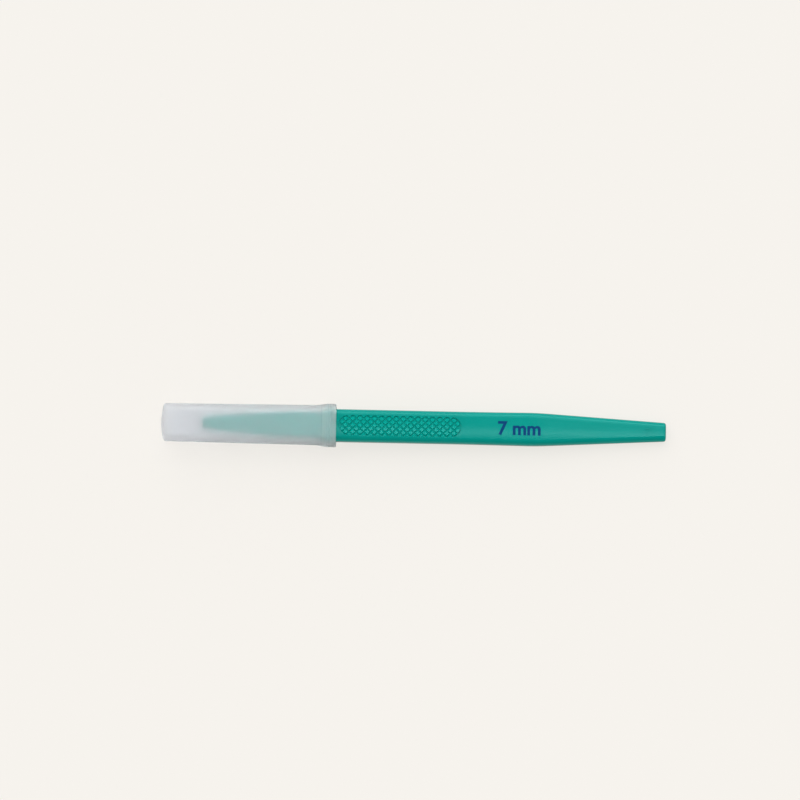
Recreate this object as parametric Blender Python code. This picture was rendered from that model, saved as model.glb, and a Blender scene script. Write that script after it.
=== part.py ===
# Single-use dermal curette: a moulded handle with a knurled grip, a steel ring blade
# held in the nose of its neck, and a frosted cap pushed over both.
#
# It lies along X with its broad faces up and down. Lengths are worked out from the
# shoulder, where the slim neck meets the grip: the blade is on the -X side of it and
# the butt on the +X side.
from math import asin, cos, pi, radians, sin, sqrt

import bmesh
import bpy

MM = 0.001

# Handle, behind the shoulder
HANDLE_LENGTH = 96.2 * MM
GRIP_WIDTH = 9.1 * MM
GRIP_THICKNESS = 5.0 * MM
SIDE_RADIUS = 1.5 * MM
WAIST_WIDTH = 9.0 * MM
WAIST_AT = 41.0 * MM
PADDLE_WIDTH = 9.25 * MM
BEND_AT = 60.2 * MM
BEND_SOFTNESS = 3.0 * MM
BUTT_WIDTH = 5.3 * MM
BUTT_THICKNESS = 3.2 * MM
BUTT_SIDE_RADIUS = 1.5 * MM
BUTT_EDGE = 0.6 * MM
SHOULDER_EDGE = 0.3 * MM

# Neck, ahead of the shoulder
NECK_LENGTH = 33.5 * MM
NECK_BASE_WIDTH = 7.55 * MM
NECK_BASE_THICKNESS = 4.1 * MM
NECK_TIP_WIDTH = 3.2 * MM
NECK_TIP_THICKNESS = 3.0 * MM
NECK_SWELL = 1.0 * MM
NECK_SIDE_RADIUS = 1.2 * MM
NOSE_EDGE = 0.6 * MM

# Knurled grip panel, the same on both broad faces
PANEL_START = 4.6 * MM
PANEL_LENGTH = 34.4 * MM
PANEL_WIDTH = 5.6 * MM
PANEL_DEPTH = 0.3 * MM
DIAMONDS_ALONG = 17
DIAMONDS_ACROSS = 3
GROOVE_WIDTH = 0.55 * MM
GROOVE_FLOOR = 0.15 * MM
BORDER_WIDTH = 0.4 * MM

# Ring blade
RING_DIAMETER = 7.0 * MM
RING_WALL = 0.4 * MM
RING_HEIGHT = 1.8 * MM
GROUND_HEIGHT = 0.7 * MM
CUTTING_EDGE = 0.05 * MM
RING_STANDOFF = 0.3 * MM
TANG_WIDTH = 0.8 * MM
TANG_HEIGHT = 1.2 * MM
TANG_DEPTH = 6.0 * MM
TANG_FILLET = 0.25 * MM
SOCKET_GAP = 0.1 * MM

# Protective cap
TIP_SPACE = 2.6 * MM
END_WALL = 1.5 * MM
END_DOME = 0.6 * MM
END_EDGE = 0.8 * MM
BORE_WIDTH = 8.7 * MM
BORE_HEIGHT = 4.7 * MM
BORE_DRAFT = 0.2 * MM
BORE_RADIUS = 1.3 * MM
BORE_END_RADIUS = 0.5 * MM
SIDE_WALL = 1.2 * MM
WALL_DRAFT = 0.18 * MM
COLLAR_WALL = 1.25 * MM
COLLAR_LENGTH = 4.0 * MM
FLARE_LENGTH = 3.0 * MM
MOUTH_EDGE = 0.2 * MM
FIT_GAP = 0.15 * MM
STOP_GAP = 0.1 * MM
RIB_COUNT = 5
RIB_PITCH = 0.45 * MM
RIB_HEIGHT = 0.07 * MM
RIB_SETBACK = 0.35 * MM

# Smoothness of the curved surfaces
CORNER_STEPS = 6
CAP_CORNER_STEPS = 8
EDGE_STEPS = 3
BEND_STEPS = 4
NECK_STEPS = 8
FLARE_STEPS = 5
PANEL_END_STEPS = 16
RING_STEPS = 72
FILLET_STEPS = 5
SHARP_ANGLE = radians(32)
THROUGH = 1.0 * MM

# Places that follow from the sizes above
RING_RADIUS = RING_DIAMETER / 2
RING_X = -NECK_LENGTH - RING_STANDOFF - RING_RADIUS
BORE_END_X = RING_X - RING_RADIUS - TIP_SPACE
CAP_END_X = BORE_END_X - END_WALL
COLLAR_HEIGHT = GRIP_THICKNESS + 2 * FIT_GAP + 2 * COLLAR_WALL
BOX_CENTRE_X = (CAP_END_X + HANDLE_LENGTH) / 2


def clear_scene():
    for item in list(bpy.data.objects):
        bpy.data.objects.remove(item, do_unlink=True)


def linear(channel):
    share = channel / 255
    if share <= 0.04045:
        return share / 12.92
    return ((share + 0.055) / 1.055) ** 2.4


def make_material(name, rgb, roughness, metallic=0.0, alpha=1.0):
    material = bpy.data.materials.new(name)
    material.use_nodes = True
    shader = material.node_tree.nodes["Principled BSDF"]
    shader.inputs["Base Color"].default_value = [linear(c) for c in rgb] + [1.0]
    shader.inputs["Roughness"].default_value = roughness
    shader.inputs["Metallic"].default_value = metallic
    shader.inputs["Alpha"].default_value = alpha
    return material


def make_object(name, shape, parent, material=None):
    """Turn a finished bmesh into an object with outward faces and smooth round sides."""
    bmesh.ops.recalc_face_normals(shape, faces=shape.faces)
    mesh = bpy.data.meshes.new(name)
    shape.to_mesh(mesh)
    shape.free()
    mesh.shade_smooth()
    mesh.set_sharp_from_angle(angle=SHARP_ANGLE)
    item = bpy.data.objects.new(name, mesh)
    bpy.context.scene.collection.objects.link(item)
    item.parent = parent
    if material:
        mesh.materials.append(material)
    return item


def make_cutter(name, shape, parent):
    item = make_object(name, shape, parent)
    item.hide_render = True
    item.display_type = "WIRE"
    return item


def combine(item, tool, operation):
    modifier = item.modifiers.new(tool.name, "BOOLEAN")
    modifier.operation = operation
    modifier.object = tool
    modifier.solver = "EXACT"


# Lofted bodies: every cross-section is a rounded rectangle across the X axis


def section(x, width, height, corner):
    return {"x": x, "width": width, "height": height, "corner": corner}


def inset(shape, x, amount):
    """The same cross-section moved to x, with its outline pulled in all round."""
    corner = max(shape["corner"] - amount, 0.1 * MM)
    return section(x, shape["width"] - 2 * amount, shape["height"] - 2 * amount, corner)


def shrunk(shape, x, share):
    return section(x, shape["width"] * share, shape["height"] * share, shape["corner"] * share)


def outline(shape, steps):
    corner = min(shape["corner"], 0.49 * min(shape["width"], shape["height"]))
    reach_y = shape["width"] / 2 - corner
    reach_z = shape["height"] / 2 - corner
    points = []
    for quarter, (side_y, side_z) in enumerate(((1, 1), (-1, 1), (-1, -1), (1, -1))):
        for step in range(steps + 1):
            angle = (quarter + step / steps) * pi / 2
            y = side_y * reach_y + corner * cos(angle)
            z = side_z * reach_z + corner * sin(angle)
            points.append((shape["x"], y, z))
    return points


def loft(sections, steps):
    """A closed skin through the cross-sections, with a flat face at each end."""
    shape = bmesh.new()
    rings = []
    for each in sections:
        rings.append([shape.verts.new(point) for point in outline(each, steps)])
    for ring, following in zip(rings, rings[1:]):
        for i, start in enumerate(ring):
            j = (i + 1) % len(ring)
            shape.faces.new((start, ring[j], following[j], following[i]))
    shape.faces.new(rings[0])
    shape.faces.new(rings[-1])
    return shape


def rounded_end(shape, face_x, radius, outward, turn=pi / 2):
    """Cross-sections that round off an end, from its flat face back to the full section."""
    start_x = face_x - outward * radius * sin(turn)
    sections = []
    for step in range(EDGE_STEPS + 1):
        angle = turn * (1 - step / EDGE_STEPS)
        x = start_x + outward * radius * sin(angle)
        sections.append(inset(shape, x, radius * (1 - cos(angle))))
    return sections


def blend(share):
    return share * share * (3 - 2 * share)


# Handle


def neck_section(share):
    """The neck's cross-section from its base, at 0, to its tip, at 1. It swells midway."""
    width = NECK_BASE_WIDTH + (NECK_TIP_WIDTH - NECK_BASE_WIDTH) * share
    width += 4 * NECK_SWELL * share * (1 - share)
    thickness = NECK_BASE_THICKNESS + (NECK_TIP_THICKNESS - NECK_BASE_THICKNESS) * share
    return section(-NECK_LENGTH * share, width, thickness, NECK_SIDE_RADIUS)


def neck_sections():
    nose = 1 - NOSE_EDGE / NECK_LENGTH
    sections = rounded_end(neck_section(nose), -NECK_LENGTH, NOSE_EDGE, -1)
    for step in range(1, NECK_STEPS + 1):
        sections.append(neck_section(nose * (1 - step / NECK_STEPS)))
    return sections


def past_bend(x):
    """How far the taper has run at x, easing in over the soft bend."""
    run = x - BEND_AT
    if run <= -BEND_SOFTNESS:
        return 0.0
    if run < BEND_SOFTNESS:
        return (run + BEND_SOFTNESS) ** 2 / (4 * BEND_SOFTNESS)
    return run


def handle_section(x):
    """The handle's cross-section at x: grip, waist, paddle, then the taper to the butt."""
    taper_length = HANDLE_LENGTH - BEND_AT
    if x < WAIST_AT:
        width = GRIP_WIDTH + (WAIST_WIDTH - GRIP_WIDTH) * blend(x / WAIST_AT)
    elif x < BEND_AT:
        share = (x - WAIST_AT) / (BEND_AT - WAIST_AT)
        width = WAIST_WIDTH + (PADDLE_WIDTH - WAIST_WIDTH) * blend(share)
    else:
        width = PADDLE_WIDTH
    tapered = past_bend(x) / taper_length
    width -= (PADDLE_WIDTH - BUTT_WIDTH) * tapered
    thickness = GRIP_THICKNESS - (GRIP_THICKNESS - BUTT_THICKNESS) * tapered
    corner = SIDE_RADIUS + (BUTT_SIDE_RADIUS - SIDE_RADIUS) * tapered
    return section(x, width, thickness, corner)


def grip_sections():
    front = handle_section(SHOULDER_EDGE)
    panel_end = PANEL_START + PANEL_LENGTH
    sections = rounded_end(front, 0, SHOULDER_EDGE, -1)
    for x in (panel_end / 2, panel_end, (WAIST_AT + BEND_AT - BEND_SOFTNESS) / 2):
        sections.append(handle_section(x))
    for step in range(BEND_STEPS + 1):
        offset = BEND_SOFTNESS * (2 * step / BEND_STEPS - 1)
        sections.append(handle_section(BEND_AT + offset))
    butt = handle_section(HANDLE_LENGTH)
    return sections + list(reversed(rounded_end(butt, HANDLE_LENGTH, BUTT_EDGE, 1)))


def add_box(shape, low, high):
    made = bmesh.ops.create_cube(shape, size=1)["verts"]
    for vert in made:
        for axis in range(3):
            middle = (low[axis] + high[axis]) / 2
            vert.co[axis] = middle + vert.co[axis] * (high[axis] - low[axis])


def socket_cutter(parent):
    """The slot in the nose that takes the blade's tang."""
    half_y = TANG_WIDTH / 2 + SOCKET_GAP
    half_z = TANG_HEIGHT / 2 + SOCKET_GAP
    shape = bmesh.new()
    low = (-NECK_LENGTH - THROUGH, -half_y, -half_z)
    high = (-NECK_LENGTH + TANG_DEPTH + SOCKET_GAP, half_y, half_z)
    add_box(shape, low, high)
    return make_cutter("tang_socket", shape, parent)


def extrude_outline(points, low, high):
    shape = bmesh.new()
    base = shape.faces.new([shape.verts.new((x, y, low)) for x, y in points])
    raised = bmesh.ops.extrude_face_region(shape, geom=[base])["geom"]
    for item in raised:
        if isinstance(item, bmesh.types.BMVert):
            item.co.z = high
    return shape


def panel_outline(pulled_in):
    """A slot shape with round ends, set in from the panel's edge. The panel starts at x = 0."""
    middle = PANEL_WIDTH / 2
    radius = middle - pulled_in
    points = []
    for centre_x, start in ((PANEL_LENGTH - middle, -pi / 2), (middle, pi / 2)):
        for step in range(PANEL_END_STEPS + 1):
            angle = start + pi * step / PANEL_END_STEPS
            points.append((centre_x + radius * cos(angle), radius * sin(angle)))
    return points


def diamond_centres():
    """Two interleaved grids of diamonds: those in the panel, and those halved by its long edges."""
    pitch_x = PANEL_LENGTH / DIAMONDS_ALONG
    pitch_y = PANEL_WIDTH / DIAMONDS_ACROSS
    radius = PANEL_WIDTH / 2
    inside = []
    halved = []
    for column in range(2 * DIAMONDS_ALONG + 1):
        for row in range(-DIAMONDS_ACROSS, DIAMONDS_ACROSS + 1):
            if (column + row) % 2:
                continue
            x = column * pitch_x / 2
            y = row * pitch_y / 2
            past_end = max(radius - x, x - (PANEL_LENGTH - radius), 0)
            if abs(row) < DIAMONDS_ACROSS:
                if sqrt(past_end**2 + y**2) < radius - BORDER_WIDTH / 2:
                    inside.append((x, y))
            elif past_end == 0:
                halved.append((x, y))
    return inside, halved


def add_prism(shape, bottom, top):
    """A solid between two outlines of as many points, each point an (x, y, z) place."""
    low = [shape.verts.new(place) for place in bottom]
    high = [shape.verts.new(place) for place in top]
    for i in range(len(low)):
        j = (i + 1) % len(low)
        shape.faces.new((low[i], low[j], high[j], high[i]))
    shape.faces.new(low)
    shape.faces.new(high)


def diamond_outline(x, y, z):
    """One diamond at height z: its foot is wider than its top by the slope of the groove."""
    half_x = PANEL_LENGTH / DIAMONDS_ALONG / 2
    half_y = PANEL_WIDTH / DIAMONDS_ACROSS / 2
    side_distance = half_x * half_y / sqrt(half_x**2 + half_y**2)
    slope = (GROOVE_WIDTH - GROOVE_FLOOR) / 2 / PANEL_DEPTH
    share = 1 - (GROOVE_FLOOR / 2 + slope * (z + PANEL_DEPTH)) / side_distance
    corners = ((half_x, 0), (0, half_y), (-half_x, 0), (0, -half_y))
    return [(x + share * u, y + share * v, z) for u, v in corners]


def diamond_field(name, centres, margin, parent):
    field = bmesh.new()
    for x, y in centres:
        foot = diamond_outline(x, y, -PANEL_DEPTH - margin)
        top = diamond_outline(x, y, margin)
        add_prism(field, foot, top)
    return make_cutter(name, field, parent)


def border_limit(name, margin, parent):
    """What the diamonds have to stay in, so that a groove runs round them inside the panel."""
    slope = (BORDER_WIDTH - GROOVE_FLOOR) / PANEL_DEPTH
    rings = []
    for z in (-PANEL_DEPTH - margin, margin):
        pulled_in = GROOVE_FLOOR + slope * (z + PANEL_DEPTH)
        rings.append([(x, y, z) for x, y in panel_outline(pulled_in)])
    limit = bmesh.new()
    add_prism(limit, *rings)
    return make_cutter(name, limit, parent)


def knurl_cutter(name, parent, underside):
    """The sunk panel with its diamonds left standing: z = 0 is the handle's broad face."""
    inside, halved = diamond_centres()
    margin = PANEL_DEPTH / 6
    pocket = make_cutter(name, extrude_outline(panel_outline(0), -PANEL_DEPTH, margin), parent)
    diamonds = diamond_field(name + "_diamonds", inside, 2 * margin, parent)
    edge_diamonds = diamond_field(name + "_edge_diamonds", halved, 2 * margin, parent)
    limit = border_limit(name + "_border", 3 * margin, parent)
    combine(diamonds, limit, "INTERSECT")
    combine(pocket, diamonds, "DIFFERENCE")
    combine(pocket, edge_diamonds, "DIFFERENCE")
    for item in (diamonds, edge_diamonds, limit, pocket):
        item.data.shade_flat()
        item.location = (PANEL_START, 0, GRIP_THICKNESS / 2)
        if underside:
            item.location.z = -GRIP_THICKNESS / 2
            item.rotation_euler.x = pi
    return pocket


def make_handle(parent):
    green = make_material("green_abs", (2, 152, 141), 0.3)
    shape = loft(neck_sections() + grip_sections(), CORNER_STEPS)
    handle = make_object("handle", shape, parent, green)
    combine(handle, socket_cutter(parent), "DIFFERENCE")
    combine(handle, knurl_cutter("upper_knurl", parent, False), "DIFFERENCE")
    combine(handle, knurl_cutter("lower_knurl", parent, True), "DIFFERENCE")
    return handle


# Ring blade


def revolve(profile, steps):
    """Turn a closed profile of (radius, z) points round the Z axis."""
    shape = bmesh.new()
    rings = []
    for step in range(steps):
        angle = 2 * pi * step / steps
        ring = [shape.verts.new((r * cos(angle), r * sin(angle), z)) for r, z in profile]
        rings.append(ring)
    for ring, following in zip(rings, rings[1:] + rings[:1]):
        for i in range(len(profile)):
            j = (i + 1) % len(profile)
            shape.faces.new((ring[i], ring[j], following[j], following[i]))
    return shape


def ring_profile():
    """A thin band, ground from the outside to a cutting edge along its lower rim."""
    inner = RING_RADIUS - RING_WALL
    top = RING_HEIGHT / 2
    eased = RING_WALL / 5
    return [
        (inner, -top),
        (inner + CUTTING_EDGE, -top),
        (RING_RADIUS, -top + GROUND_HEIGHT),
        (RING_RADIUS, top - eased),
        (RING_RADIUS - eased, top),
        (inner + eased, top),
        (inner, top - eased),
    ]


def tang_outline():
    """Plan of the tang, flaring with a fillet into the wall of the ring."""
    half = TANG_WIDTH / 2
    fillet_y = half + TANG_FILLET
    reach = RING_RADIUS + TANG_FILLET
    fillet_x = sqrt(reach**2 - fillet_y**2)
    swing = asin(fillet_y / reach)
    end_x = RING_RADIUS + RING_STANDOFF + TANG_DEPTH
    point = TANG_WIDTH / 4
    side = [(end_x, half - point), (end_x - 2 * point, half)]
    for step in range(FILLET_STEPS + 1):
        angle = -pi / 2 - (pi / 2 - swing) * step / FILLET_STEPS
        x = fillet_x + TANG_FILLET * cos(angle)
        y = fillet_y + TANG_FILLET * sin(angle)
        side.append((x, y))
    root = RING_RADIUS - 0.75 * RING_WALL
    side.append((root * cos(swing), root * sin(swing)))
    return side + [(x, -y) for x, y in reversed(side)]


def make_blade(parent):
    steel = make_material("ground_steel", (196, 199, 201), 0.28, 1.0)
    blade = make_object("curette_blade", revolve(ring_profile(), RING_STEPS), parent, steel)
    shape = extrude_outline(tang_outline(), -TANG_HEIGHT / 2, TANG_HEIGHT / 2)
    tang = make_cutter("blade_tang", shape, parent)
    for item in (blade, tang):
        item.location.x = RING_X
    combine(blade, tang, "UNION")
    return blade


# Protective cap, modelled from its mouth at x = 0 towards -X


def bore_section(x):
    share = (x + COLLAR_LENGTH) / BORE_END_X
    draft = BORE_DRAFT * share
    return section(x, BORE_WIDTH - draft, BORE_HEIGHT - draft, BORE_RADIUS)


def body_section(x):
    """Outside of the cap ahead of the collar: the bore plus a wall that thins to the end."""
    share = (x + COLLAR_LENGTH) / BORE_END_X
    return inset(bore_section(x), x, WALL_DRAFT * share - SIDE_WALL)


def collar_section(x):
    inside = section(x, GRIP_WIDTH, GRIP_THICKNESS, SIDE_RADIUS)
    return inset(inside, x, -FIT_GAP - COLLAR_WALL)


def flare_section(x, share):
    """Between the body at share 0 and the collar at share 1."""
    body = body_section(x)
    collar = collar_section(x)
    sizes = [body[k] + (collar[k] - body[k]) * blend(share) for k in ("width", "height", "corner")]
    return section(x, *sizes)


def rib_sections():
    """Fine rings round the collar, from the mouth inwards."""
    sections = []
    for rib in range(RIB_COUNT):
        middle = -RIB_SETBACK - RIB_PITCH * (rib + 0.5)
        for offset, rise in ((0.5, 0), (0.2, RIB_HEIGHT), (-0.2, RIB_HEIGHT)):
            x = middle + RIB_PITCH * offset
            sections.append(inset(collar_section(x), x, -rise))
    last = -RIB_SETBACK - RIB_PITCH * RIB_COUNT
    return sections + [collar_section(last)]


def cap_outside():
    mouth = list(rounded_end(collar_section(0), 0, MOUTH_EDGE, 1))
    flare_start = -RIB_SETBACK - RIB_PITCH * RIB_COUNT
    sections = mouth + rib_sections()
    for step in range(1, FLARE_STEPS + 1):
        share = step / FLARE_STEPS
        sections.append(flare_section(flare_start - FLARE_LENGTH * share, 1 - share))
    end_x = CAP_END_X - COLLAR_LENGTH
    end = body_section(end_x + END_DOME)
    sections += reversed(rounded_end(end, end_x + END_DOME, END_EDGE, -1, radians(75)))
    rim = sections[-1]
    for share in (0.75, 0.5, 0.25):
        sections.append(shrunk(rim, end_x + END_DOME * (share**2 - 0.25**2), share))
    return sections


def cap_inside():
    """The core: a pocket for the handle's front, a stop, and the drafted bore beyond it."""
    pocket = inset(section(0, GRIP_WIDTH, GRIP_THICKNESS, SIDE_RADIUS), 0, -FIT_GAP)
    stop_x = -COLLAR_LENGTH - STOP_GAP
    sections = [inset(pocket, THROUGH, 0), inset(pocket, stop_x, 0)]
    sections.append(bore_section(stop_x))
    end_x = BORE_END_X - COLLAR_LENGTH
    end = bore_section(end_x)
    return sections + list(reversed(rounded_end(end, end_x, BORE_END_RADIUS, -1)))


def make_cap(parent):
    frosted = make_material("frosted_polypropylene", (214, 222, 221), 0.45, 0.0, 0.45)
    cap = make_object("protective_cap", loft(cap_outside(), CAP_CORNER_STEPS), parent, frosted)
    core = make_cutter("cap_core", loft(cap_inside(), CAP_CORNER_STEPS), parent)
    for item in (cap, core):
        item.location.x = COLLAR_LENGTH
    combine(cap, core, "DIFFERENCE")
    return cap


def make_curette():
    clear_scene()
    shoulder = bpy.data.objects.new("shoulder", None)
    bpy.context.scene.collection.objects.link(shoulder)
    shoulder.location = (-BOX_CENTRE_X, 0, COLLAR_HEIGHT / 2 + RIB_HEIGHT)
    make_handle(shoulder)
    make_blade(shoulder)
    make_cap(shoulder)


make_curette()
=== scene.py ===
import math

import bmesh
import bpy
from mathutils import Matrix, Vector


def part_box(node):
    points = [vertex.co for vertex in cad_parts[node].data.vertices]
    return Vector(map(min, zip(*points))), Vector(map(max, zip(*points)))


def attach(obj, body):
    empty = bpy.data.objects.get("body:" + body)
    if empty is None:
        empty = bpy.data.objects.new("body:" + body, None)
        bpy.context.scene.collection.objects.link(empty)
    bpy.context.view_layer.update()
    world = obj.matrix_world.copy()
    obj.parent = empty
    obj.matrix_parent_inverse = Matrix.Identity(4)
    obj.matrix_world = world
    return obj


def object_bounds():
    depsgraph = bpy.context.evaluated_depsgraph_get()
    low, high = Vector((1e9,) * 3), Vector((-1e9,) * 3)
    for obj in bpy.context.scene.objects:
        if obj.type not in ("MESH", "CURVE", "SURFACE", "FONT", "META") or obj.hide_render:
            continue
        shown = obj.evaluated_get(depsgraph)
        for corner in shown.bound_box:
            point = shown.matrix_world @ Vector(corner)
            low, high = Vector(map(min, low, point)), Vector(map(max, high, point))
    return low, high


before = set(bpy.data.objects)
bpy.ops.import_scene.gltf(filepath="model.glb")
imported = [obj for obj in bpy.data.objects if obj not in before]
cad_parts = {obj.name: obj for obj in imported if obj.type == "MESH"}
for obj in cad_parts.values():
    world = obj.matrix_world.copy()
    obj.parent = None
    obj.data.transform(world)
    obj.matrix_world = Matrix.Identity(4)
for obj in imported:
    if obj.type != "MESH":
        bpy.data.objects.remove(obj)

# Looks of a single-use dermal curette: green moulded handle, steel ring blade, frosted cap.
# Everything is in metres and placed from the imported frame.

mm = 0.001
cadBox = [list(corner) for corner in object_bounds()]
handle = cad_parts["handle"]
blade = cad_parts["curette_blade"]
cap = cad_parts["protective_cap"]
handleLow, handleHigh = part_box("handle")
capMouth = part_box("protective_cap")[1].x
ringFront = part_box("curette_blade")[0].x
midHeight = (handleLow.z + handleHigh.z) / 2
gripTop = handleHigh.z


def srgb(red, green, blue, alpha=1.0):
    # Colour as a picture shows it, turned into the linear one that a shader takes
    channels = []
    for value in (red, green, blue):
        share = value / 255
        channels.append(share / 12.92 if share <= 0.04045 else ((share + 0.055) / 1.055) ** 2.4)
    return (*channels, alpha)


# Small helpers for building node trees

def startMaterial(name):
    material = bpy.data.materials.new(name)
    material.use_nodes = True
    nodes = material.node_tree.nodes
    return material, nodes, material.node_tree.links, nodes["Principled BSDF"]


def addNode(nodes, kind, settings=None, values=None):
    node = nodes.new(kind)
    for name, value in (settings or {}).items():
        setattr(node, name, value)
    for name, value in (values or {}).items():
        node.inputs[name].default_value = value
    return node


def mathsFor(nodes, links):
    # A short way to add Math nodes to one tree: each value is a number or a socket
    def maths(operation, *values):
        node = addNode(nodes, "ShaderNodeMath", {"operation": operation})
        for place, value in enumerate(values):
            if isinstance(value, (int, float)):
                node.inputs[place].default_value = value
            else:
                links.new(value, node.inputs[place])
        return node.outputs[0]

    return maths


def mixColour(nodes, links, factor, colourA, colourB):
    node = addNode(nodes, "ShaderNodeMix", {"data_type": "RGBA"})
    for place, value in ((0, factor), (6, colourA), (7, colourB)):     # the colour sockets of a Mix node
        if isinstance(value, (tuple, float, int)):
            node.inputs[place].default_value = value
        else:
            links.new(value, node.inputs[place])
    return node.outputs[2]


def softStep(nodes, links, value, low, high):
    # 0 at low and 1 at high, eased at both ends
    ranged = addNode(nodes, "ShaderNodeMapRange", {"interpolation_type": "SMOOTHSTEP"},
                     {"From Min": low, "From Max": high})
    links.new(value, ranged.inputs["Value"])
    return ranged.outputs["Result"]


def placeAxes(nodes, links, space="Object"):
    # Where the surface is, as sockets X, Y and Z
    place = nodes.new("ShaderNodeTexCoord")
    split = nodes.new("ShaderNodeSeparateXYZ")
    links.new(place.outputs[space], split.inputs["Vector"])
    return split.outputs


def setRough(nodes, links, shader, mask, look):
    ranged = addNode(nodes, "ShaderNodeMapRange", {"clamp": False},
                     {"To Min": look["roughLow"], "To Max": look["roughHigh"]})
    links.new(mask, ranged.inputs["Value"])
    links.new(ranged.outputs["Result"], shader.inputs["Roughness"])


def setBump(nodes, links, shader, height, distance=1.0):
    bump = addNode(nodes, "ShaderNodeBump", values={"Strength": 1.0, "Distance": distance})
    links.new(height, bump.inputs["Height"])
    links.new(bump.outputs["Normal"], shader.inputs["Normal"])


# Skin of a moulded plastic piece: slow cloudiness, a fine orange peel and a few hairline scratches

skinLook = {
    "cloudDetail": 3.0,
    "cloudRough": 0.5,
    "peelDetail": 2.0,
    "peelRough": 0.45,
    "scratchScale": (60.0, 2600.0, 2600.0),      # long along the instrument, and very thin
    "scratchTilt": 0.35,
    "scratchDetail": 1.0,
    "scratchFrom": 0.7,      # noise below this is no scratch
    "scratchFull": 0.78,
}


def makeMouldSkin():
    look = skinLook
    group = bpy.data.node_groups.new("mouldSkin", "ShaderNodeTree")
    for name in ("Cloud Size", "Peel Size", "Peel Depth"):
        group.interface.new_socket(name=name, in_out="INPUT", socket_type="NodeSocketFloat")
    for name in ("Cloud", "Scratches", "Height"):
        group.interface.new_socket(name=name, in_out="OUTPUT", socket_type="NodeSocketFloat")
    nodes, links = group.nodes, group.links
    maths = mathsFor(nodes, links)
    inside = nodes.new("NodeGroupInput")
    outside = nodes.new("NodeGroupOutput")
    place = nodes.new("ShaderNodeTexCoord")

    def noise(size, detail, rough):
        texture = addNode(nodes, "ShaderNodeTexNoise", values={"Detail": detail, "Roughness": rough})
        links.new(place.outputs["Object"], texture.inputs["Vector"])
        links.new(maths("DIVIDE", 1.0, inside.outputs[size]), texture.inputs["Scale"])
        return texture.outputs["Fac"]

    links.new(noise("Cloud Size", look["cloudDetail"], look["cloudRough"]), outside.inputs["Cloud"])
    peel = noise("Peel Size", look["peelDetail"], look["peelRough"])
    links.new(maths("MULTIPLY", peel, inside.outputs["Peel Depth"]), outside.inputs["Height"])

    stretch = addNode(nodes, "ShaderNodeMapping",
                      values={"Rotation": (0.0, 0.0, look["scratchTilt"]), "Scale": look["scratchScale"]})
    links.new(place.outputs["Object"], stretch.inputs["Vector"])
    hair = addNode(nodes, "ShaderNodeTexNoise", values={"Scale": 1.0, "Detail": look["scratchDetail"]})
    links.new(stretch.outputs["Vector"], hair.inputs["Vector"])
    picked = addNode(nodes, "ShaderNodeMapRange",
                     values={"From Min": look["scratchFrom"], "From Max": look["scratchFull"]})
    links.new(hair.outputs["Fac"], picked.inputs["Value"])
    links.new(picked.outputs["Result"], outside.inputs["Scratches"])
    return group


def placeSkin(nodes, skin, look):
    node = addNode(nodes, "ShaderNodeGroup", {"node_tree": skin})
    node.inputs["Cloud Size"].default_value = look["cloudSize"]
    node.inputs["Peel Size"].default_value = look["peelSize"]
    node.inputs["Peel Depth"].default_value = look["peelDepth"]
    return node.outputs


# Handle: glossy green ABS, very slightly crowned across its broad faces, with a faint parting line

handleLook = {
    "colour": srgb(0, 152, 142),
    "deepColour": srgb(0, 143, 133),
    "roughLow": 0.15,
    "roughHigh": 0.24,
    "scratchRough": 0.6,     # how far a scratch goes from the lower to the higher roughness
    "ior": 1.5,
    "shine": 0.3,
    "shineTint": (0.44, 1.0, 1.05, 1.0),
    # painted highlight on the tops of the knurl's diamonds, where they catch the lights; the grooves get
    # about the plain colour back, a touch darker as painted shade
    "diamondHighlightColour": srgb(0, 160, 149),
    "grooveColour": srgb(0, 151, 141),
    "grooveRough": 0.3,      # what the grooves are rougher by
    "panelSetback": 0.6 * mm,        # from the mouth of the cap
    "panelLength": 34.4 * mm,
    "panelWidth": 5.6 * mm,
    "panelBorder": 0.2 * mm,
    "grooveStart": 0.02 * mm,        # depths where the grooves' colour sets in and is full
    "grooveFull": 0.22 * mm,
    "crownRadius": 34 * mm,
    "partingHeight": 0.02 * mm,
    "partingWidth": 0.06 * mm,
    "cloudSize": 9 * mm,
    "peelSize": 0.45 * mm,
    "peelDepth": 0.0012 * mm,
}


def crownAndParting(nodes, links, look):
    # Height of the crown across the broad faces, and of the parting line along the sides
    maths = mathsFor(nodes, links)
    axes = placeAxes(nodes, links)
    crown = maths("MULTIPLY", maths("MULTIPLY", axes["Y"], axes["Y"]), -0.5 / look["crownRadius"])
    fromMiddle = maths("ABSOLUTE", maths("SUBTRACT", axes["Z"], midHeight))
    line = softStep(nodes, links, fromMiddle, look["partingWidth"], 0.0)
    return maths("MULTIPLY_ADD", line, look["partingHeight"], crown)


def knurlMasks(nodes, links, look):
    # Masks of the knurled panels and of the depth of their grooves
    maths = mathsFor(nodes, links)
    axes = placeAxes(nodes, links)
    along = maths("SUBTRACT", axes["X"], capMouth + look["panelSetback"])
    radius = look["panelWidth"] / 2
    pastEnd = maths("MAXIMUM", maths("SUBTRACT", radius, along),
                    maths("SUBTRACT", along, look["panelLength"] - radius))
    pastEnd = maths("MAXIMUM", pastEnd, 0.0)
    squared = maths("MULTIPLY_ADD", pastEnd, pastEnd, maths("MULTIPLY", axes["Y"], axes["Y"]))
    panel = maths("LESS_THAN", maths("SQRT", squared), radius - look["panelBorder"])
    fromMiddle = maths("ABSOLUTE", maths("SUBTRACT", axes["Z"], midHeight))
    halfGrip = gripTop - midHeight
    deep = softStep(nodes, links, fromMiddle, halfGrip - look["grooveStart"], halfGrip - look["grooveFull"])
    return panel, maths("MULTIPLY", deep, panel)


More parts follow.
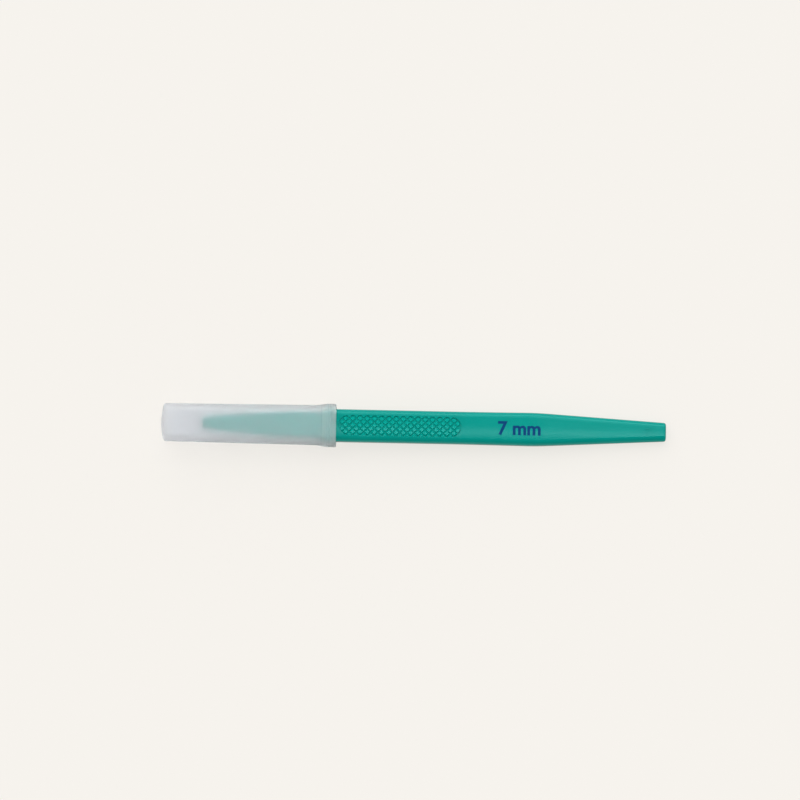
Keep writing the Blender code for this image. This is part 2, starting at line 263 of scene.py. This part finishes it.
def makeHandlePlastic(skin):
    look = handleLook
    material, nodes, links, shader = startMaterial("greenAbs")
    maths = mathsFor(nodes, links)
    surface = placeSkin(nodes, skin, look)
    panel, groove = knurlMasks(nodes, links, look)
    colour = mixColour(nodes, links, surface["Cloud"], look["deepColour"], look["colour"])
    # Painted highlight over the knurled panel, taken back to about the plain colour, with a touch of painted
    # shade, in its grooves
    colour = mixColour(nodes, links, panel, colour, look["diamondHighlightColour"])
    colour = mixColour(nodes, links, groove, colour, look["grooveColour"])
    links.new(colour, shader.inputs["Base Color"])
    wear = maths("MULTIPLY_ADD", surface["Scratches"], look["scratchRough"], surface["Cloud"])
    grooveWear = look["grooveRough"] / (look["roughHigh"] - look["roughLow"])
    setRough(nodes, links, shader, maths("MULTIPLY_ADD", groove, grooveWear, wear), look)
    shape = crownAndParting(nodes, links, look)
    setBump(nodes, links, shader, maths("ADD", shape, surface["Height"]))
    shader.inputs["IOR"].default_value = look["ior"]
    shader.inputs["Specular IOR Level"].default_value = look["shine"]
    shader.inputs["Specular Tint"].default_value = look["shineTint"]
    return material


# Blade: ground stainless strip, with its rolling lines round the ring

bladeLook = {
    "colour": srgb(203, 205, 206),
    "dullColour": srgb(168, 171, 174),
    "roughLow": 0.16,
    "roughHigh": 0.4,
    "lineDepth": 0.002 * mm,
    "lineStretch": 1.5,      # changes along a line, for each radian round the ring
    "lineScale": 14000.0,    # changes across the lines, for each metre of height
    "lineDetail": 4.0,
    "ringRadius": 3.5 * mm,
}


def makeSteel():
    look = bladeLook
    material, nodes, links, shader = startMaterial("groundSteel")
    maths = mathsFor(nodes, links)
    axes = placeAxes(nodes, links)
    fromCentre = maths("SUBTRACT", axes["X"], ringFront + look["ringRadius"])
    turn = maths("ARCTAN2", axes["Y"], fromCentre)
    unrolled = nodes.new("ShaderNodeCombineXYZ")
    links.new(maths("MULTIPLY", turn, look["lineStretch"]), unrolled.inputs["X"])
    links.new(maths("MULTIPLY", axes["Z"], look["lineScale"]), unrolled.inputs["Y"])
    rolled = addNode(nodes, "ShaderNodeTexNoise", values={"Scale": 1.0, "Detail": look["lineDetail"]})
    links.new(unrolled.outputs["Vector"], rolled.inputs["Vector"])
    lines = rolled.outputs["Fac"]
    links.new(mixColour(nodes, links, lines, look["dullColour"], look["colour"]), shader.inputs["Base Color"])
    setRough(nodes, links, shader, lines, look)
    setBump(nodes, links, shader, lines, look["lineDepth"])
    shader.inputs["Metallic"].default_value = 1.0
    return material


# Cap: frosted polypropylene that blurs and whitens what is behind it

capLook = {
    "colour": (0.95, 0.97, 1.0, 1.0),
    "cloudColour": (0.935, 0.958, 0.995, 1.0),
    "collarGripGlowColour": (0.925, 0.97, 1.0, 1.0),     # painted green glow of the grip, which the collar holds tightly
    "seeThrough": 0.885,
    "roughLow": 0.66,
    "roughHigh": 0.74,
    "ior": 1.45,
    "cloudSize": 6 * mm,
    "peelSize": 0.3 * mm,
    "peelDepth": 0.004 * mm,
    "collarLength": 4.1 * mm,
    "collarGloss": 0.75,
    "collarGlossRough": 0.3,
    "paintedShadeColour": (0.76, 0.8, 0.83, 1.0),        # painted shade, on the line at the root of the collar and in the grooves between the ribs
    "darkWidth": 0.25 * mm,
    "grooveShare": 0.6,      # how far the grooves between the ribs go towards the painted shade colour
    "grooveWidth": 0.22,     # in pitches of the ribs, from the middle of a groove
    "ribSetback": 0.35 * mm,
    "ribPitch": 0.45 * mm,
    "ribCount": 5,
    "ribMargin": 0.2,        # in pitches, so that the outer grooves are whole
    "paintedHighlightColour": (0.95, 0.985, 1.0, 1.0),
    "lightPlaces": (3.5 * mm, 0.7 * mm),         # painted highlight lines near the root and the lip, from the mouth
    "lightWidth": 0.45 * mm,
    "lightGloss": 0.25,      # what they have over the rest of the collar
}


def collarMarks(nodes, links, look):
    # Masks of the collar, of its lines of painted shade and of its lines of painted highlight
    maths = mathsFor(nodes, links)
    fromMouth = maths("SUBTRACT", capMouth, placeAxes(nodes, links)["X"])
    length = look["collarLength"]
    collar = softStep(nodes, links, fromMouth, length + look["darkWidth"], length)

    def lineAt(place, width):
        away = maths("ABSOLUTE", maths("SUBTRACT", fromMouth, place))
        return softStep(nodes, links, away, width, 0.0)

    turns = maths("DIVIDE", maths("SUBTRACT", fromMouth, look["ribSetback"]), look["ribPitch"])
    fromGroove = maths("PINGPONG", turns, 0.5)
    grooves = maths("MULTIPLY", softStep(nodes, links, fromGroove, look["grooveWidth"], 0.0),
                    look["grooveShare"])
    half = look["ribCount"] / 2
    fromMiddle = maths("ABSOLUTE", maths("SUBTRACT", turns, half))
    grooves = maths("MULTIPLY", grooves, maths("LESS_THAN", fromMiddle, half + look["ribMargin"]))
    # painted shade in the grooves between the ribs and along the root of the collar
    dark = maths("MAXIMUM", grooves, lineAt(length, look["darkWidth"]))
    # painted highlight lines, which also get more gloss
    light = 0.0
    for place in look["lightPlaces"]:
        light = maths("MAXIMUM", lineAt(place, look["lightWidth"]), light)
    return collar, dark, light


def makeFrostedPlastic(skin):
    look = capLook
    material, nodes, links, shader = startMaterial("frostedPolypropylene")
    maths = mathsFor(nodes, links)
    surface = placeSkin(nodes, skin, look)
    collar, dark, light = collarMarks(nodes, links, look)
    colour = mixColour(nodes, links, surface["Cloud"], look["cloudColour"], look["colour"])
    # Painted light on the collar: the grip's green glow, highlight lines, and shade at its root and between
    # its ribs
    for mask, name in ((collar, "collarGripGlowColour"), (light, "paintedHighlightColour"), (dark, "paintedShadeColour")):
        colour = mixColour(nodes, links, mask, colour, look[name])
    links.new(colour, shader.inputs["Base Color"])
    setRough(nodes, links, shader, surface["Cloud"], look)
    gloss = maths("MULTIPLY", collar, look["collarGloss"])
    gloss = maths("MULTIPLY_ADD", light, look["lightGloss"], gloss)
    links.new(gloss, shader.inputs["Coat Weight"])
    shader.inputs["Coat Roughness"].default_value = look["collarGlossRough"]
    setBump(nodes, links, shader, surface["Height"])
    shader.inputs["Transmission Weight"].default_value = look["seeThrough"]
    shader.inputs["IOR"].default_value = look["ior"]
    return material


sharpAngle = math.radians(30)


def dress(node, material):
    node.data.materials.clear()
    node.data.materials.append(material)
    node.data.shade_smooth()
    node.data.set_sharp_from_angle(angle=sharpAngle)


skin = makeMouldSkin()
dress(handle, makeHandlePlastic(skin))
dress(blade, makeSteel())
dress(cap, makeFrostedPlastic(skin))
print("materials are on the handle, the blade and the cap")


# Ring size, printed in blue on the paddle and raised in the plastic near the butt

printLook = {
    "text": "7 mm",
    "middle": 29.5 * mm,
    "height": 4.0 * mm,
    "boldness": 0.03,        # of the letters' own size, here and below
    "lift": 0.012 * mm,      # how far the ink stands off the face
    "shine": 0.1,
    "colour": srgb(2, 62, 114),
    "thinColour": srgb(4, 80, 128),
    "thinFrom": 0.45,        # noise above this is thinner ink
    "thinFull": 0.75,
    "roughLow": 0.35,
    "roughHigh": 0.5,
    "speckle": 0.15 * mm,
    "speckleDetail": 2.0,
}
raisedLook = {
    "text": "7",
    "middle": 65.4 * mm,
    "height": 1.9 * mm,
    "boldness": 0.015,
    "lift": 0.14 * mm,
}
letteringLook = {
    "sink": 0.02 * mm,       # how far the foot of the letters is under the face
    "flatDepth": 0.01,       # of the flat text, before it is laid on the face
    "weld": 0.0001,          # points of the flat text nearer than this become one
    "lookFrom": 1.0,         # height from which the face is looked for
}


def makeInk():
    look = printLook
    material, nodes, links, shader = startMaterial("blueInk")
    place = nodes.new("ShaderNodeTexCoord")
    noise = addNode(nodes, "ShaderNodeTexNoise",
                    values={"Scale": 1 / look["speckle"], "Detail": look["speckleDetail"]})
    links.new(place.outputs["Object"], noise.inputs["Vector"])
    speckle = noise.outputs["Fac"]
    thin = addNode(nodes, "ShaderNodeMapRange",
                   values={"From Min": look["thinFrom"], "From Max": look["thinFull"]})
    links.new(speckle, thin.inputs["Value"])
    links.new(mixColour(nodes, links, thin.outputs["Result"], look["colour"], look["thinColour"]),
              shader.inputs["Base Color"])
    setRough(nodes, links, shader, speckle, look)
    shader.inputs["Specular IOR Level"].default_value = look["shine"]
    return material


def textMesh(name, look):
    curve = bpy.data.curves.new(name, "FONT")
    curve.body = look["text"]
    curve.offset = look["boldness"]
    curve.extrude = letteringLook["flatDepth"]
    source = bpy.data.objects.new(name + "Source", curve)
    bpy.context.scene.collection.objects.link(source)
    bpy.context.view_layer.update()
    mesh = bpy.data.meshes.new_from_object(source)
    bpy.data.objects.remove(source, do_unlink=True)
    bpy.data.curves.remove(curve)
    welded = bmesh.new()
    welded.from_mesh(mesh)
    bmesh.ops.remove_doubles(welded, verts=welded.verts, dist=letteringLook["weld"])
    welded.to_mesh(mesh)
    welded.free()
    return mesh


def makeLettering(name, look, material):
    # Text laid on the upper broad face of the handle, following its soft bend
    mesh = textMesh(name, look)
    xs = [vertex.co.x for vertex in mesh.vertices]
    ys = [vertex.co.y for vertex in mesh.vertices]
    middleX, middleY = (min(xs) + max(xs)) / 2, (min(ys) + max(ys)) / 2
    scale = look["height"] / (max(ys) - min(ys))
    for vertex in mesh.vertices:
        x = look["middle"] + (vertex.co.x - middleX) * scale
        y = (vertex.co.y - middleY) * scale
        start = Vector((x, y, letteringLook["lookFrom"]))
        onFace = handle.ray_cast(start, Vector((0, 0, -1)))[1]
        offset = look["lift"] if vertex.co.z > 0 else -letteringLook["sink"]
        vertex.co = (x, y, onFace.z + offset)
    mesh.materials.clear()
    mesh.materials.append(material)
    lettering = bpy.data.objects.new(name, mesh)
    bpy.context.scene.collection.objects.link(lettering)
    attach(lettering, "handle")


makeLettering("sizePrint", printLook, makeInk())
makeLettering("raisedSize", raisedLook, handle.data.materials[0])
print("the size is printed and raised on the handle")


# Floor: a pale sheet that the collar and the butt both rest on

floorLook = {
    "colour": srgb(245, 242, 237),
    "size": 6.0,
    "restFrom": 5 * mm,      # how far behind the collar the handle may touch the floor
    "ownGlow": 0.8,          # share of the floor that shows at its written colour, whatever the shadow
    "mirroredLevel": 0.5,    # how bright that share is in reflections
    "throughGlow": 0.6,      # the same two where the floor shows through the cap that shades it
    "throughLevel": 0.5,
}


def restSlope():
    # How steeply the floor rises from the foot of the collar to the butt
    slopes = []
    for vertex in handle.data.vertices:
        run = vertex.co.x - capMouth
        if run > floorLook["restFrom"]:
            slopes.append(vertex.co.z / run)
    return min(slopes)


def mirroredOnly(maths, path):
    # Rough glass marks the rays that pass it as glossy too, so those are taken off again
    mirrored = maths("SUBTRACT", path["Is Glossy Ray"], path["Is Transmission Ray"])
    return maths("MAXIMUM", mirrored, 0.0)


def makePaleFloor():
    look = floorLook
    material, nodes, links, shader = startMaterial("paleFloor")
    shader.inputs["Base Color"].default_value = look["colour"]
    shader.inputs["Roughness"].default_value = 1.0
    shader.inputs["Specular IOR Level"].default_value = 0.0
    maths = mathsFor(nodes, links)
    path = nodes.new("ShaderNodeLightPath").outputs
    seen, through = path["Is Camera Ray"], path["Is Transmission Ray"]
    mirrored = mirroredOnly(maths, path)
    level = maths("MULTIPLY_ADD", mirrored, look["mirroredLevel"], seen)
    level = maths("MULTIPLY_ADD", through, look["throughLevel"], level)
    glow = addNode(nodes, "ShaderNodeEmission", values={"Color": look["colour"]})
    links.new(level, glow.inputs["Strength"])
    share = maths("MULTIPLY", maths("MAXIMUM", seen, mirrored), look["ownGlow"])
    share = maths("MULTIPLY_ADD", through, look["throughGlow"], share)
    blend = nodes.new("ShaderNodeMixShader")
    links.new(share, blend.inputs["Fac"])
    links.new(shader.outputs["BSDF"], blend.inputs[1])
    links.new(glow.outputs["Emission"], blend.inputs[2])
    links.new(blend.outputs["Shader"], nodes["Material Output"].inputs["Surface"])
    return material


def makeFloor():
    half = floorLook["size"] / 2
    slope = restSlope()
    corners = []
    for x, y in ((-half, -half), (half, -half), (half, half), (-half, half)):
        corners.append((x, y, (x - capMouth) * slope))
    mesh = bpy.data.meshes.new("floor")
    mesh.from_pydata(corners, [], [(0, 1, 2, 3)])
    mesh.materials.append(makePaleFloor())
    floor = bpy.data.objects.new("floor", mesh)
    bpy.context.scene.collection.objects.link(floor)


makeFloor()


# Light: a pale room, one very broad key light from beyond the far edge, and for the reflections
# a softbox behind the instrument, a strip straight above it and a haze over its butt

lightLook = {
    "room": srgb(245, 242, 237),
    "roomLevel": 0.72,
    "keyStrength": 1.95,
    "keySpread": 75,         # degrees
    "keyFrom": (-0.25, 0.74, 0.66),
    "softboxLevel": 3.8,
    "softboxBehind": (0.3, 0.7),     # directions in the room, where a light sets in and is full
    "softboxAbove": (0.3, 0.5),
    "softboxBelow": (0.94, 0.76),
    "stripLevel": 7.2,
    "stripLean": 0.02,
    "stripWidth": 0.07,
    "overhead": (0.75, 0.9),
    "hazeLevel": 1.6,
    "hazeAlong": (0.05, 0.1),
    "hazeBehind": (-0.03, 0.05),
}


def roomLights(nodes, links, look):
    # What the pieces mirror: brightness of the softbox, the strip and the haze in each direction
    maths = mathsFor(nodes, links)
    axes = placeAxes(nodes, links, "Generated")

    def edge(axis, name):
        return softStep(nodes, links, axes[axis], *look[name])

    softbox = maths("MULTIPLY", maths("MULTIPLY", edge("Y", "softboxBehind"), edge("Z", "softboxAbove")),
                    edge("Z", "softboxBelow"))
    aside = maths("ABSOLUTE", maths("SUBTRACT", axes["Y"], look["stripLean"]))
    overhead = edge("Z", "overhead")
    strip = maths("MULTIPLY", softStep(nodes, links, aside, look["stripWidth"], 0.0), overhead)
    haze = maths("MULTIPLY", maths("MULTIPLY", edge("X", "hazeAlong"), edge("Y", "hazeBehind")), overhead)
    lights = maths("MULTIPLY", softbox, look["softboxLevel"])
    lights = maths("MULTIPLY_ADD", strip, look["stripLevel"], lights)
    return maths("MULTIPLY_ADD", haze, look["hazeLevel"], lights)


def makeWorld():
    look = lightLook
    world = bpy.data.worlds.new("paleRoom")
    bpy.context.scene.world = world
    world.use_nodes = True
    nodes, links = world.node_tree.nodes, world.node_tree.links
    maths = mathsFor(nodes, links)
    lights = roomLights(nodes, links, look)
    path = nodes.new("ShaderNodeLightPath").outputs
    level = maths("MAXIMUM", path["Is Camera Ray"], path["Is Transmission Ray"])
    level = maths("MAXIMUM", level, look["roomLevel"])
    mirrored = mirroredOnly(maths, path)
    level = maths("MULTIPLY", level, maths("SUBTRACT", 1.0, mirrored))
    background = nodes["Background"]
    background.inputs["Color"].default_value = look["room"]
    links.new(maths("MULTIPLY_ADD", lights, mirrored, level), background.inputs["Strength"])
    world.cycles.sampling_method = "NONE"     # the room is only found by rays that know what they left


def makeKey():
    look = lightLook
    key = bpy.data.objects.new("keyLight", bpy.data.lights.new("keyLight", "SUN"))
    bpy.context.scene.collection.objects.link(key)
    key.location = look["keyFrom"]
    key.rotation_euler = (-Vector(look["keyFrom"])).to_track_quat("-Z", "Y").to_euler()
    key.data.energy = look["keyStrength"]
    key.data.angle = math.radians(look["keySpread"])
    key.visible_glossy = False


makeWorld()
makeKey()
print("floor, room and lamps are set")


# Camera: a long lens almost straight above, leaning a little towards the front edge

cameraLook = {
    "distance": 1.0,
    "lean": 6.0,             # degrees from straight down
    "roll": 1.18,            # degrees that the instrument falls to the right
    "pixelSize": 0.2798 * mm,
    "pictureSize": 800,
    "centrePixel": (413.6, 427.2),   # where the middle of the instrument shows
    "sensorWidth": 36,
    "nearest": 0.01,
}


def makeCamera():
    look = cameraLook
    lean, roll = math.radians(look["lean"]), math.radians(look["roll"])
    back = Vector((0, -math.sin(lean), math.cos(lean)))
    level = Vector((0, math.cos(lean), math.sin(lean)))
    right = math.cos(roll) * Vector((1, 0, 0)) + math.sin(roll) * level
    up = back.cross(right)
    middle = Vector(((cadBox[0][0] + cadBox[1][0]) / 2, 0, midHeight))
    offsetX = (look["centrePixel"][0] - look["pictureSize"] / 2) * look["pixelSize"]
    offsetY = (look["centrePixel"][1] - look["pictureSize"] / 2) * look["pixelSize"]
    data = bpy.data.cameras.new("camera")
    camera = bpy.data.objects.new("camera", data)
    bpy.context.scene.collection.objects.link(camera)
    camera.location = middle - right * offsetX + up * offsetY + back * look["distance"]
    camera.rotation_euler = Matrix((right, up, back)).transposed().to_euler()
    data.sensor_width = look["sensorWidth"]
    data.lens = look["sensorWidth"] * look["distance"] / (look["pixelSize"] * look["pictureSize"])
    data.clip_start = look["nearest"]
    bpy.context.scene.camera = camera


makeCamera()
bpy.context.scene.view_settings.view_transform = "Standard"
print("camera is set")

bpy.context.view_layer.update()
